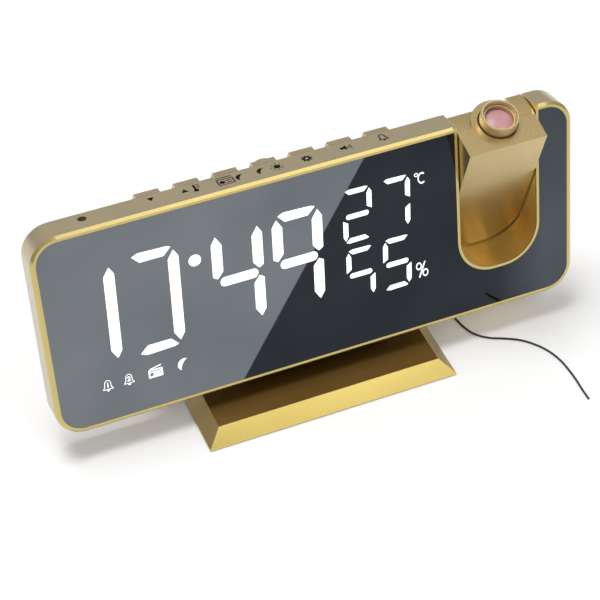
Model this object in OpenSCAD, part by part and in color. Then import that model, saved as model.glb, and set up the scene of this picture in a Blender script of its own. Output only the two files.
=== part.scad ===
// Projection alarm clock: a leaning mirror-fronted clock radio on a bevelled stand,
// with a projector arm that turns in a slot on the right.
// +X is the clock's right as seen from the front, +Y points to its back and +Z is up.
// The origin is the middle of the footprint, on the table.

/* [Case] */
// Width of the case
case_w = 187; // [186:0.5:190]
// Height of the case, measured along its face
case_h = 73.6; // [73.4:0.1:75]
// Depth of the case at its edges
case_d = 9.9; // [9.7:0.1:10.2]
// Radius of the case's corners, seen from the front
corner_r = 9.5; // [8.5:0.1:10.5]
// Thickness of the outer walls
wall = 1.8; // [1.6:0.1:2]
// Width of the gold frame between the case's outline and the mirror
bezel = 1.77; // [1.5:0.01:2]
// Backward lean of the case in degrees
lean = 13.9; // [12:0.1:15]
// Height of the lower front edge above the table
case_z = 11.5; // [11.2:0.1:12]

/* [Mirror and display] */
// Thickness of the smoked mirror
mirror_t = 1.5; // [1.2:0.1:1.5]
// Height of the four large digits
big_h = 38.6; // [34:0.1:39]
// Width of a large digit
big_w = 17.7; // [16:0.1:17.8]
// Height of a small digit
small_h = 20.3; // [18:0.1:20.4]
// Width of a small digit
small_w = 10.6; // [9:0.1:10.8]

/* [Keys] */
// Number of keys along the top
key_count = 7; // [7:1:7]
// Distance from one key to the next
key_pitch = 13.13; // [12.6:0.01:13.2]
// Width of a key along its upper edge
key_w = 8; // [7.4:0.1:8.2]
// How far a key stands out behind the case
key_proud = 2.6; // [2.2:0.1:2.8]
// Gap around a key's tongue in its notch
key_gap = 0.15; // [0.12:0.01:0.2]

/* [Projector arm] */
// Distance of the arm's middle from the middle of the case
arm_x = 65.8; // [65.4:0.1:66]
// Width of the arm
arm_w = 28; // [27:0.1:28]
// Distance from the arm's pivot to its front face
arm_front_d = 10; // [9.8:0.1:10.2]
// Height of the arm's top above its pivot
arm_top = 20.9; // [20.5:0.1:21]
// Radius that the arm's lower end sweeps around its pivot
arm_reach = 36.2; // [36:0.1:36.4]
// Radius of the arm's lower corners
arm_corner = 12; // [11:0.1:12.5]
// Tilt of the arm out of the case in degrees, 0 being flush
arm_tilt = 27; // [0:1:90]

/* [Stand] */
// Width of the stand
stand_w = 90; // [86:0.5:92]
// Depth of the stand
stand_d = 43.5; // [43:0.5:44]
// Width of the bevel around the stand's top
stand_bevel = 4.9; // [4:0.1:5.5]
// Height of the stand's top above the table
stand_h = 5.3; // [5:0.1:5.5]

/* [Hidden] */
$fn = 48;
eps = 0.01;
fit = 0.1;

// place of the case and of the arm's pivot in it
case_y = -7.7;
stand_x = -2.3;
plate_t = 1;
pivot_y = arm_front_d;
pivot_z = 52.5;
slot_side = arm_w / 2 + 0.4;
slot_reach = arm_reach + 0.75;
slot_corner = arm_corner + 0.4;
slot_rim = 0.95;
well_y = 19.5;
well_top = 43;
well_lip = 1.2;

// layers from the front to the back of the case
chamfer_w = 0.9;
chamfer_d = 0.75;
mirror_y = 0.1;
seat_y = mirror_y + mirror_t;
film_t = 0.2;
wall_y = 3.2;
reflector_y = 4.6;
board_t = 1.6;
flange_y = case_d - 1.6;
window = [-86, 45.5, 9.5, 62.5];
board_edge = [-86.6, 46, 9.2, 62.8];

// rear housing: [left, right, bottom, top] of its foot, and its depth
bulge_foot = [-62, 48.4, 9, 62];
bulge_back = [-58.5, 45, 10.5, 52.5];
bulge_y = 19;
bulge_wall = 1.8;
inner_y = bulge_y - bulge_wall;
main_y = 10.8;

// the display: [right edge, lower edge] of every digit, then the round cells of the signs
big_at = [[-68.3, 21.9], [-47, 21.9], [-18.7, 21.9], [2.1, 21.9]];
small_at = [[20, 41.6], [33.7, 41.6], [19.9, 19.2], [33.1, 19.2]];
big_bar = 3.8;
small_bar = 2.1;
slant = 0.034;
colon_at = [[-42.1, 30.5], [-41.4, 51.9]];
sign_at = [[-75.2, 15.1], [-68.1, 15.1], [-59, 15.1], [-49.6, 14.9], [36.8, 59.3], [36.8, 24]];
display_screw_x = [-84, 43.5];
display_screw_z = [11.5, 60.9];

// keys
key_x0 = -50.9;
key_side = 0.8;
key_draft_end = 71.8;
key_bottom = 66.6;
tongue_w = 7;
ear = 1;
nub_r = 3.4;
nub_h = 3.2;
nub_x = -0.3;
tongue_top = 69;
tongue_bottom = 67.2;
switch_z = 64.2;

// pivot
lug_r = 6;
lug_t = 2.5;
bush_r = 3;
pin_r = 2;
running = 0.05;

// optics along the arm's axis
tube_r = 6.6;
tube_top = 13.5;
tube_bottom = -9.2;
tube_ledge = 4;
slide_seat = 7;
flange_r = 7.5;
flange_top = 14.9;
condenser_r = 5.95;
ring_r = 6.45;
ring_top = 24.7;
ring_bore = 5.4;
barrel_r = 5.3;
lens_r = 4.75;
lens_seat = 20.4;
optics_x = 0.8;
arm_back = 9.5;
shoulder_r = [18.8, 21];
shoulder_x = 8.5;
boss_r = 9;
arm_screw_x = 11.6;
arm_screw_z = 13.6;

// rear fittings, each [x, z] on the back of the case
speaker_at = [-42, 36.5];
speaker_r = 14;
jack_at = [-46, 16.6];
usb_at = [-31, 16];
cell_at = [23, 33];
cell_r = 10;
cell_t = 3.2;
door_w = 24;
grommet_at = [40, 15.2];
screw_at = [[-83, 6], [-83, 66.5], [86.5, 9], [86.5, 66], [58, 8]];
main_post_x = [-18, 41];
main_post_z = [22.5, 51];
pillar_at = [[-76, 20], [-76, 54], [-64, 62], [30, 9.8], [47.6, 30]];
plate_screw_x = [stand_x - 36, stand_x + 36];
plate_screw_y = [-14, 14];
neck_x = 18;
neck_y = 13.7;
neck_half = 26;
neck_front = case_d + 0.3;
neck_rear = 17.2;

// antenna lead: its route on the table and up to the grommet
lead_d = 0.7;
lead_fit = 0.15;
lead_route = [
    [40, 14, 21.8], [40, 16.6, 21.1], [40.5, 18.8, 19], [41.7, 20.1, 15.2], [43.3, 20.3, 10.6],
    [45.4, 19.3, 6.2], [47.6, 17.4, 3], [49.8, 14.4, 1.1], [51.6, 10.8, 0.4], [53, 6.6, 0.35],
    [54, 2.2, 0.35], [54.9, -2.6, 0.35], [56.6, -6.8, 0.35], [60.4, -10.6, 0.35], [65.4, -13.1, 0.35],
    [70.4, -16, 0.35], [74.2, -19.8, 0.35], [77, -24.2, 0.35], [78.7, -29.4, 0.35], [79.3, -34.6, 0.35],
    [79.4, -39.6, 0.35], [79.2, -44.4, 0.35], [79.2, -48.8, 0.35]];
lead_steps = 3;

// ---------- placing and drawing helpers ----------

// from the case's own axes to the table: y runs into the case, z up along its face
module in_case() {
    translate([0, case_y, case_z]) rotate([-lean, 0, 0]) children();
}

// from the arm's own axes, centred on its pivot, to the table
module in_arm() {
    in_case() translate([arm_x, pivot_y, pivot_z]) rotate([arm_tilt, 0, 0]) children();
}

// a flat outline in x and z, given thickness from y0 to y1
module slab(y0, y1) {
    translate([0, y1, 0]) rotate([90, 0, 0]) linear_extrude(y1 - y0) children();
}

// a flat outline in y and z, given length from x0 to x1
module bar(x0, x1) {
    translate([x0, 0, 0]) rotate([90, 0, 90]) linear_extrude(x1 - x0) children();
}

// a round piece along +y, standing on the point given
module post(at, y0, y1, r) {
    translate([at[0], y0, at[1]]) rotate([-90, 0, 0]) cylinder(r = r, h = y1 - y0);
}

module round_rect(x0, x1, z0, z1, r) {
    translate([x0 + r, z0]) square([x1 - x0 - 2 * r, z1 - z0]);
    translate([x0, z0 + r]) square([x1 - x0, z1 - z0 - 2 * r]);
    for (x = [x0 + r, x1 - r], z = [z0 + r, z1 - r]) translate([x, z]) circle(r);
}

module case_outline(inset) {
    half = case_w / 2 - inset;
    round_rect(-half, half, inset, case_h - inset, corner_r - inset);
}

// from the axis of the lamp, slide and lens, which stands beside the arm's middle, to the table
module in_optics() {
    in_arm() translate([optics_x, 0, 0]) children();
}

// the space that a turning arm needs: a drum around the pivot, open upwards
module arm_space(side, reach, corner, above = 60) {
    translate([arm_x, pivot_y, pivot_z]) {
        arm_drum(side, reach, corner);
        translate([-side, -40, 0]) cube([2 * side, 80, above]);
    }
}

module arm_drum(side, reach, corner) {
    rotate([0, 90, 0]) rotate_extrude($fn = 96) {
        translate([0, -side]) square([reach - corner, 2 * side]);
        translate([0, corner - side]) square([reach, 2 * (side - corner)]);
        for (s = [-1, 1]) translate([reach - corner, s * (side - corner)]) circle(corner);
    }
}

// a slotted-head screw along +y from its tip to its head
module screw_y(at, tip_y, neck, head_r, head_t, shank_r) {
    difference() {
        union() {
            post(at, tip_y, neck + eps, shank_r);
            post(at, neck, neck + head_t, head_r);
        }
        translate([at[0], neck + head_t, at[1]])
            for (a = [0, 90]) rotate([0, a, 0]) cube([head_r * 1.1, 0.8, 0.5], center = true);
    }
}

// ---------- front case ----------

// the case's solid form with the narrow chamfer around its face
module case_block() {
    half = case_w / 2;
    slab(chamfer_d, case_d) case_outline(0);
    bar(corner_r - half, half - corner_r)
        polygon([[0, chamfer_w], [chamfer_d, 0], [chamfer_d, case_h], [0, case_h - chamfer_w]]);
    translate([0, 0, corner_r]) linear_extrude(case_h - 2 * corner_r)
        polygon([[chamfer_w - half, 0], [half - chamfer_w, 0], [half, chamfer_d], [-half, chamfer_d]]);
    for (x = [corner_r - half, half - corner_r], z = [corner_r, case_h - corner_r])
        translate([x, 0, z]) rotate([-90, 0, 0])
            cylinder(h = chamfer_d, r1 = corner_r - chamfer_w, r2 = corner_r, $fn = 64);
}

// the wall around the arm's slot: thin at the mirror, thicker behind it
module slot_liner() {
    intersection() {
        slab(0, case_d) case_outline(0);
        arm_space(slot_side + slot_rim, slot_reach + slot_rim, slot_corner + slot_rim);
    }
    intersection() {
        slab(seat_y, case_d) case_outline(0);
        arm_space(slot_side + wall, slot_reach + wall, slot_corner + wall);
    }
}

// lugs that carry the arm's pivot on both sides of the slot
module pivot_lugs() {
    for (s = [-1, 1]) {
        x = s > 0 ? arm_x + slot_side : arm_x - slot_side - lug_t;
        translate([x, pivot_y, pivot_z]) rotate([0, 90, 0]) cylinder(r = lug_r, h = lug_t);
        translate([x, wall_y - eps, pivot_z - lug_r]) cube([lug_t, pivot_y - wall_y, 2 * lug_r]);
    }
}

module front_case() {
    color("darkkhaki") in_case() difference() {
        union() {
            difference() {
                case_block();
                slab(-1, seat_y) case_outline(bezel);
                slab(wall_y, case_d + 1) case_outline(wall);
                slab(0, wall_y + 1) round_rect(window[0], window[1], window[2], window[3], 3);
            }
            slot_liner();
            pivot_lugs();
            for (at = screw_at) post(at, wall_y - eps, flange_y, 2.8);
            // rib that keeps the keys from rising
            translate([key_x0 - 8, wall_y - eps, tongue_top + fit])
                cube([6 * key_pitch + 16, 2.8, case_h - wall - tongue_top - fit + eps]);
        }
        arm_space(slot_side, slot_reach, slot_corner);
        translate([arm_x - 40, pivot_y, pivot_z]) rotate([0, 90, 0]) cylinder(r = bush_r, h = 80);
        for (at = screw_at) post(at, wall_y + 0.6, flange_y + 1, 1);
        translate([-73.7, 6.4, case_h - 4]) cylinder(r = 1.45, h = 8);
    }
}

module mirror_panel() {
    color("dimgray") in_case() difference() {
        slab(mirror_y, seat_y) case_outline(bezel);
        arm_space(slot_side + slot_rim, slot_reach + slot_rim, slot_corner + slot_rim);
    }
}

// ---------- display ----------

// a cell of a digit, leaning to the right as the digit does
module cell(x0, x1, z0, z1, mid) {
    polygon([for (p = [[x0, z0], [x1, z0], [x1, z1], [x0, z1]]) [p[0] + slant * (p[1] - mid), p[1]]]);
}

// the seven segments of one digit whose lower right corner is at the origin
module digit_cells(w, h, line) {
    gap = line * 0.15;
    mid = h / 2;
    for (z = [0, mid - line / 2, h - line]) cell(line + gap - w, -line - gap, z, z + line, mid);
    for (x = [-w, -line], z = [0, mid]) cell(x, x + line, z + 2 * gap, z + mid - 2 * gap, mid);
}

// every lit cell of the display
module display_cells() {
    for (at = big_at) translate(at) digit_cells(big_w, big_h, big_bar);
    for (at = small_at) translate(at) digit_cells(small_w, small_h, small_bar);
    for (at = colon_at) translate(at) circle(2.1);
    for (at = sign_at) translate(at) circle(2.6);
}

module diffuser_film() {
    color("white") in_case()
        slab(seat_y, seat_y + film_t)
            round_rect(window[0] + 0.3, window[1] - 0.3, window[2] + 0.3, window[3] - 0.3, 2.7);
}

module display_reflector() {
    front = seat_y + film_t;
    color([0.15, 0.15, 0.16]) in_case() difference() {
        union() {
            slab(front, wall_y + eps)
                round_rect(window[0] + 0.2, window[1] - 0.2, window[2] + 0.2, window[3] - 0.2, 2.8);
            slab(wall_y, reflector_y)
                round_rect(window[0] - 1.2, window[1] + 1.2, window[2] - 0.5, window[3] + 0.5, 2);
        }
        slab(front - 1, reflector_y + 1) display_cells();
        for (x = display_screw_x, z = display_screw_z) post([x, z], front + 0.6, 10, 0.7);
    }
}

module display_board() {
    color("darkgreen") in_case() difference() {
        slab(reflector_y, reflector_y + board_t)
            square_area(board_edge[0], board_edge[1], board_edge[2], board_edge[3]);
        for (x = display_screw_x, z = display_screw_z) post([x, z], reflector_y - 1, 10, 0.9);
    }
}

module square_area(x0, x1, z0, z1) {
    translate([x0, z0]) square([x1 - x0, z1 - z0]);
}

module display_screws() {
    color("silver") in_case() for (x = display_screw_x, z = display_screw_z) {
        post([x, z], 2.9, reflector_y + board_t + eps, 0.7);
        post([x, z], reflector_y + board_t, reflector_y + board_t + 0.7, 1.5);
    }
}

// one small lamp behind every segment
module display_leds() {
    color("ivory") in_case() {
        for (at = big_at) digit_lamps(at[0], at[1], big_w, big_h, big_bar);
        for (at = small_at) digit_lamps(at[0], at[1], small_w, small_h, small_bar);
        for (at = concat(colon_at, sign_at)) lamp(at[0], at[1]);
    }
}

module digit_lamps(x, z, w, h, line) {
    for (level = [line / 2, h / 2, h - line / 2]) lamp(x - w / 2, z + level);
    for (dx = [line / 2, w - line / 2], level = [h / 4, h * 3 / 4])
        lamp(x - dx + slant * (level - h / 2), z + level);
}

module lamp(x, z) {
    translate([x - 0.8, reflector_y - 0.7, z - 0.4]) cube([1.6, 0.7, 0.8]);
}

// ---------- rear cover ----------

module bulge_layer(edges, y, r) {
    slab(y, y + eps) round_rect(edges[0], edges[1], edges[2], edges[3], r, $fn = 32);
}

function shrink(e, d) = [e[0] + d, e[1] - d, e[2] + d, e[3] - d];

// the housing behind the flange, drafted on its sides and softened along its rear edge
module bulge(inset, y_start, y_end) {
    hull($fn = 32) {
        bulge_layer(shrink(bulge_foot, inset), y_start, 9 - inset);
        bulge_layer(shrink([bulge_foot[0] + 1.5, bulge_foot[1] - 1.4, bulge_foot[2],
            bulge_foot[3] - 4], inset), y_end - 1.6, 9 - inset);
        bulge_layer(shrink(bulge_back, inset), y_end - eps, 7.5 - inset);
    }
}

module speaker_slots() {
    r = 11.5;
    for (i = [-4 : 4]) {
        half = sqrt(r * r - pow(i * 2.5, 2)) * 0.98;
        translate([speaker_at[0] + i * 2.5 - 0.7, inner_y - 1, speaker_at[1] - half])
            cube([1.4, 5, 2 * half]);
    }
}

module rear_cover() {
    tray = door_w / 2;
    color("darkkhaki") in_case() difference() {
        union() {
            difference() {
                union() {
                    slab(flange_y, case_d) case_outline(wall + fit);
                    bulge(0, flange_y, bulge_y);
                }
                bulge(bulge_wall, flange_y - 0.5, inner_y);
            }
            // tray for the coin cell
            difference() {
                translate([cell_at[0] - tray - 1.2, 12.8, cell_at[1] - tray - 1.2])
                    cube([door_w + 2.4, inner_y - 12.6, door_w + 2.4]);
                translate([cell_at[0] - tray + 1.2, 13.7, cell_at[1] - tray + 1.2])
                    cube([door_w - 2.4, 9, door_w - 2.4]);
            }
            // posts for the main board, a collar round the speaker, sleeves for the stand's
            // screws, ribs below the key board and pillars that hold the display in place
            for (x = main_post_x, z = main_post_z) post([x, z], main_y + board_t, inner_y + eps, 2.2);
            difference() {
                post(speaker_at, 13.4, inner_y + eps, speaker_r + 1.2);
                post(speaker_at, 12, inner_y + 1, speaker_r + fit);
            }
            for (at = pillar_at) post(at, reflector_y + board_t, flange_y + eps, 1.6);
            for (x = [-neck_x, neck_x]) translate([x, neck_y, bulge_foot[2]]) cylinder(r = 2.6, h = 9);
            for (x = [-55, -30, -4, 22, 34])
                translate([x, 6.4, 61.2]) cube([1.2, flange_y - 6.4 + eps, 1.8]);
        }
        arm_space(slot_side + wall + fit, slot_reach + wall + fit, slot_corner + wall + fit);
        for (s = [-1, 1]) translate([arm_x + s * (slot_side + lug_t / 2), pivot_y, pivot_z])
            cube([lug_t + 1.8, 30, 2 * lug_r + 0.3], center = true);
        translate([cell_at[0] - tray, inner_y, cell_at[1] - tray]) cube([door_w, 9, door_w]);
        post(jack_at, inner_y - 1, bulge_y + 1, 4);
        translate([usb_at[0] - 6.8, inner_y - 1, usb_at[1] - 3]) cube([13.6, 6, 6]);
        post(grommet_at, inner_y - 1, bulge_y + 1, 1.6);
        for (at = screw_at) {
            post(at, flange_y - 1, case_d + 1, 1.3);
            post(at, case_d - 0.9, case_d + 1, 2.3);
        }
        for (x = main_post_x, z = main_post_z) post([x, z], main_y, main_y + 5, 0.8);
        for (x = [-neck_x, neck_x]) translate([x, neck_y, 0]) cylinder(r = 1.25, h = 17);
        speaker_slots();
        // notches for the keys' tongues
        for (i = [0 : key_count - 1])
            translate([key_x0 + i * key_pitch - tongue_w / 2 - key_gap, flange_y - 1, key_bottom - 0.8])
                cube([tongue_w + 2 * key_gap, case_d - flange_y + 2, 20]);
    }
}

// guard behind the slot, glued to the cover, that the arm's lower end swings into
module arm_well() {
    foot = case_d + well_lip;
    lip = wall + 1.1;
    color("darkgoldenrod") in_case() difference() {
        union() {
            intersection() {
                arm_space(slot_side + wall, slot_reach + wall, slot_corner + wall);
                bar(0, case_w / 2)
                    polygon([[case_d, 0], [well_y, 0], [well_y, 20], [foot, well_top], [case_d, well_top]]);
            }
            intersection() {
                arm_space(slot_side + lip, slot_reach + lip, slot_corner + lip);
                bar(0, case_w / 2) polygon([[case_d, 0], [foot, 0], [foot, well_top], [case_d, well_top]]);
            }
        }
        arm_space(slot_side, slot_reach, slot_corner);
    }
}

module case_screws() {
    color("silver") in_case()
        for (at = screw_at) screw_y(at, 4.4, case_d - 0.9, 2.2, 0.8, 1);
}

// ---------- electronics ----------

module main_board() {
    color("darkgreen") in_case() difference() {
        union() {
            slab(main_y, main_y + board_t) {
                square_area(-22, 44.5, 19, 54);
                square_area(-54, -21, 11.5, 22);
            }
            translate([-12, main_y - 1.4, 32]) cube([9, 1.4 + eps, 9]);
            translate([4, main_y - 1.2, 22]) cube([7, 1.2 + eps, 5]);
            post([-12, 48], main_y + board_t - eps, main_y + board_t + 4.2, 2.5);
        }
        for (x = main_post_x, z = main_post_z) post([x, z], main_y - 1, main_y + 5, 1.1);
    }
}

module board_screws() {
    color("silver") in_case()
        for (x = main_post_x, z = main_post_z) {
            post([x, z], main_y - 0.9, main_y, 1.9);
            post([x, z], main_y - eps, main_y + 4.9, 0.8);
        }
}

module key_board() {
    color("darkgreen") in_case()
        translate([key_x0 - 6, 4.7, switch_z - 1.2]) cube([6 * key_pitch + 12, flange_y - 4.7, 1.2]);
}

module tact_switches() {
    color("gray") in_case() for (i = [0 : key_count - 1])
        translate([key_x0 + i * key_pitch, 6.4, switch_z]) {
            translate([-2.2, -1.6, 0]) cube([4.4, 3.3, 1.8]);
            cylinder(r = 1.1, h = 2.3);
        }
}

module climate_sensor() {
    color("white") in_case() {
        translate([-76.2, 4.6, 67.2]) cube([5, 3.6, 1.4]);
        translate([-73.7, 6.4, 68.5]) cylinder(r = 1.4, h = case_h - wall - 68.5);
    }
}

module speaker() {
    color([0.12, 0.12, 0.12]) in_case() translate([speaker_at[0], 0, speaker_at[1]])
        rotate([-90, 0, 0]) rotate_extrude()
            polygon([[0, 9.2], [7, 9.2], [7, 12.2], [8.2, 13.2], [13, 15.6], [14, 15.6], [14, 16.2],
                [12.6, 16.2], [8, 14.4], [3, 13.6], [0, 14.4]]);
}

// foam ring that seals the speaker against the grille
module speaker_ring() {
    color([0.2, 0.2, 0.2]) in_case() translate([speaker_at[0], 16.2, speaker_at[1]])
        rotate([-90, 0, 0]) difference() {
            cylinder(r = speaker_r, h = inner_y - 16.2);
            translate([0, 0, -1]) cylinder(r = 12.4, h = 4);
        }
}

module dc_jack() {
    y0 = main_y + board_t;
    color([0.1, 0.1, 0.1]) in_case() difference() {
        union() {
            translate([jack_at[0] - 4.2, y0, jack_at[1] - 4.2]) cube([8.4, inner_y - y0, 8.4]);
            post(jack_at, inner_y - eps, bulge_y - 0.1, 3.9);
        }
        difference() {
            post(jack_at, y0 + 1, bulge_y + 1, 2.75);
            post(jack_at, y0, bulge_y - 1, 0.65);
        }
    }
}

module usb_socket() {
    y0 = main_y + board_t;
    color("silver") in_case() translate([usb_at[0], 0, usb_at[1]]) {
        difference() {
            translate([-6.6, y0, -2.85]) cube([13.2, bulge_y - 0.2 - y0, 5.7]);
            translate([-6.2, y0 + 0.4, -2.45]) cube([12.4, 10, 4.9]);
        }
        translate([-5.6, y0 + 0.3, 0.5]) cube([11.2, 5.6, 1.6]);
    }
}

module coin_cell() {
    color("lightgray") in_case() {
        post(cell_at, 13.95, 13.95 + cell_t - 0.6, cell_r);
        post(cell_at, 13.95 + cell_t - 0.6 - eps, 13.95 + cell_t, cell_r - 0.4);
    }
}

module cell_contacts() {
    color("gold") in_case() translate([cell_at[0], 0, cell_at[1]]) {
        translate([-3, 13.7, -8]) cube([6, 0.25, 16]);
        translate([-10.8, 13.7, -4]) cube([0.4, cell_t, 8]);
    }
}

module battery_door() {
    w = door_w / 2 - 0.2;
    color("darkkhaki") in_case() translate([cell_at[0], 0, cell_at[1]]) difference() {
        union() {
            slab(inner_y, bulge_y - 0.05) round_rect(-w, w, -w, w, 1);
            for (x = [-6, 6]) translate([x - 1.5, inner_y - 0.6, w - 3.2]) cube([3, 0.6 + eps, 1.2]);
        }
        for (i = [0 : 3]) translate([-5, bulge_y - 0.45, w - 3 - i * 1.6]) cube([10, 1, 0.7]);
    }
}

module antenna_grommet() {
    color([0.1, 0.1, 0.1]) in_case() translate([grommet_at[0], 0, grommet_at[1]])
        rotate([-90, 0, 0]) rotate_extrude()
            polygon([[lead_d / 2 + lead_fit, inner_y - 0.8], [1.8, inner_y - 0.8], [1.8, inner_y],
                [1.55, inner_y], [1.55, bulge_y], [2.4, bulge_y], [1.9, bulge_y + 0.9],
                [lead_d / 2 + lead_fit, bulge_y + 1.2]]);
}

// ---------- antenna lead ----------

function mix_at(a, b, c, d, t) = 0.5 * (2 * b + (c - a) * t + (2 * a - 5 * b + 4 * c - d) * t * t
    + (3 * b - a - 3 * c + d) * t * t * t);
function route_at(i, t) = let (p = lead_route, n = len(p) - 1)
    mix_at(p[max(i - 1, 0)], p[i], p[i + 1], p[min(i + 2, n)], t);
lead_path = [for (i = [0 : len(lead_route) - 2], k = [0 : lead_steps - 1])
    route_at(i, k / lead_steps), lead_route[len(lead_route) - 1]];
function along(i) = let (n = len(lead_path) - 1,
    d = lead_path[min(i + 1, n)] - lead_path[max(i - 1, 0)]) d / norm(d);
function ring_at(i, sides) = let (d = along(i), side = cross(d, [0, 0, 1]),
    u = norm(side) > 0.2 ? side / norm(side) : cross(d, [0, 1, 0]) / norm(cross(d, [0, 1, 0])),
    v = cross(u, d)) [for (k = [0 : sides - 1])
    lead_path[i] + lead_d / 2 * (cos(360 * k / sides) * u + sin(360 * k / sides) * v)];

module antenna_lead() {
    sides = 8;
    rings = len(lead_path);
    points = [for (i = [0 : rings - 1]) each ring_at(i, sides)];
    quads = [for (i = [0 : rings - 2], k = [0 : sides - 1])
        let (n = (k + 1) % sides) [i * sides + k, (i + 1) * sides + k, (i + 1) * sides + n, i * sides + n]];
    start = [for (k = [0 : sides - 1]) k];
    end = [for (k = [sides - 1 : -1 : 0]) (rings - 1) * sides + k];
    color([0.05, 0.05, 0.05]) polyhedron(points = points, faces = concat([start, end], quads));
}

// ---------- keys ----------

// seen from behind: a cap whose ends widen below its upper edge
module key_outline() {
    half = key_w / 2;
    polygon([[-half, case_h], [-half - key_side, key_draft_end], [-half - key_side, key_bottom],
        [half + key_side, key_bottom], [half + key_side, key_draft_end], [half, case_h]]);
}

// a key: the cap behind the top edge and the tongue that reaches over its switch, with ears
// that catch behind the cover's notch
module key_cap(i) {
    color("darkkhaki") in_case() translate([key_x0 + i * key_pitch, 0, 0]) {
        slab(case_d + 0.08, case_d + key_proud) key_outline();
        translate([-tongue_w / 2, 5, tongue_bottom])
            cube([tongue_w, case_d + 1 - 5, tongue_top - tongue_bottom]);
        translate([-tongue_w / 2 - ear, flange_y - 1.1, tongue_bottom])
            cube([tongue_w + 2 * ear, 1, tongue_top - tongue_bottom]);
    }
}

module key_down() key_cap(0);
module key_up() key_cap(1);
module key_radio() key_cap(2);
module key_snooze() {
    key_cap(3);
    // round nub that the finger finds in the dark
    color("darkkhaki") in_case() translate([key_x0 + 3 * key_pitch + nub_x, 0, 0]) intersection() {
        translate([0, case_d, case_h - nub_h]) cylinder(r = nub_r, h = nub_h);
        translate([-nub_r, case_d + 0.3, key_bottom]) cube([2 * nub_r, nub_r, case_h - key_bottom]);
    }
}
module key_set() key_cap(4);
module key_volume() key_cap(5);
module key_alarm() key_cap(6);

// ---------- stand ----------

module plinth(inset, z0, z_edge, z_top, bevel) {
    x = stand_w / 2 - inset;
    y = stand_d / 2 - inset;
    hull() translate([stand_x, 0, 0]) {
        translate([-x, -y, z0]) cube([2 * x, 2 * y, z_edge - z0]);
        translate([bevel - x, bevel - y, z0]) cube([2 * (x - bevel), 2 * (y - bevel), z_top - z0]);
    }
}

module stand_shell() {
    color("goldenrod") difference() {
        union() {
            difference() {
                plinth(0, 0.3, 0.8, stand_h, stand_bevel);
                plinth(1.6, 0, 0.9, stand_h - 1.8, stand_bevel - 0.6);
            }
            intersection() {
                in_case() bar(-neck_half, neck_half)
                    polygon([[neck_front, -10], [neck_rear, -10], [neck_rear, bulge_foot[2] - 1.5],
                        [neck_rear - 1.5, bulge_foot[2]], [neck_front, bulge_foot[2]]]);
                translate([-60, -30, stand_h - 1.8]) cube([120, 60, 40]);
            }
            for (x = plate_screw_x, y = plate_screw_y) translate([x, y, 0.5 + plate_t])
                cylinder(r = 2.6, h = stand_h - 1.4 - plate_t);
        }
        in_case() for (x = [-neck_x, neck_x]) translate([x, neck_y, -20]) {
            cylinder(r = 2.9, h = 25);
            cylinder(r = 1.35, h = 40);
        }
        for (x = plate_screw_x, y = plate_screw_y) translate([x, y, 0]) cylinder(r = 1, h = stand_h - 1.4);
    }
}

// steel plate that closes the stand and keeps the clock steady
module stand_plate() {
    color("gray") difference() {
        translate([stand_x - stand_w / 2 + 2.8, 2.8 - stand_d / 2, 0.5])
            cube([stand_w - 5.6, stand_d - 5.6, plate_t]);
        for (x = plate_screw_x, y = plate_screw_y) translate([x, y, -1]) {
            cylinder(r = 1.2, h = 5);
            cylinder(r = 2.1, h = 2.1);
        }
    }
}

module stand_screws() {
    color("silver") in_case() for (x = [-neck_x, neck_x]) translate([x, neck_y, 0]) {
        translate([0, 0, 3]) cylinder(r = 2.5, h = 2);
        translate([0, 0, 5 - eps]) cylinder(r = 1.25, h = 11);
    }
}

module plate_screws() {
    color("silver") for (x = plate_screw_x, y = plate_screw_y) translate([x, y, 0]) {
        translate([0, 0, 0.5]) cylinder(r = 2, h = 0.6);
        translate([0, 0, 1.1 - eps]) cylinder(r = 1, h = 2.6);
    }
}

module stand_feet() {
    color([0.1, 0.1, 0.1]) for (x = [-28, 28], y = [-15, 15]) translate([stand_x + x, y, 0])
        cylinder(r = 3.5, h = 0.5);
}

// ---------- projector arm ----------

module optics_bores() translate([optics_x, 0, 0]) {
    translate([0, 0, tube_bottom]) cylinder(r = tube_r, h = 40);
    translate([0, 0, tube_top]) cylinder(r = ring_r + 0.45, h = 40);
    translate([0, 0, tube_top]) cylinder(r = flange_r + fit, h = flange_top + fit - tube_top);
}

// flap and upper box that fill the slot flush with the mirror when the arm is folded in
module arm_front() {
    half = arm_w / 2;
    front = -arm_front_d;
    color("tan") in_arm() difference() {
        union() {
            intersection() {
                arm_drum(half, arm_reach, arm_corner);
                translate([-half, front, -40]) cube([arm_w, 4, 40 + arm_top]);
            }
            translate([-half, front, -9.5]) cube([arm_w, arm_front_d, arm_top + 9.5]);
        }
        intersection() {
            arm_drum(half - 1.5, arm_reach - 1.5, arm_corner - 1.5);
            translate([-half, front + 2, -40]) cube([arm_w, 5, 29]);
        }
        for (x = [-half + 1.6, 8.6]) translate([x, front + 1.8, -7.8])
            cube([half - 10.2, arm_front_d, 18.3]);
        optics_bores();
        for (x = [-15, 9]) translate([x, 0, 0]) rotate([0, 90, 0]) cylinder(r = pin_r, h = 6);
        for (x = [-arm_screw_x, arm_screw_x]) translate([x, 1, arm_screw_z]) rotate([90, 0, 0])
            cylinder(r = 0.8, h = 5);
    }
}

// side view of the rear half: upright behind the shoulders, tapered below them
module rear_profile(inset) {
    z0 = -12 + inset;
    polygon([[-1, z0], [6.4 - inset, z0], [arm_back - inset, 1.5], [arm_back - inset, 40], [-1, 40]]);
}

// one shoulder: part of a drum around the pivot, cut off at the arm's back
module shoulder(x0, x1, r) {
    intersection() {
        translate([x0, 0, 0]) rotate([0, 90, 0]) cylinder(r = r, h = x1 - x0, $fn = 96);
        rear_space();
    }
}

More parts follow.
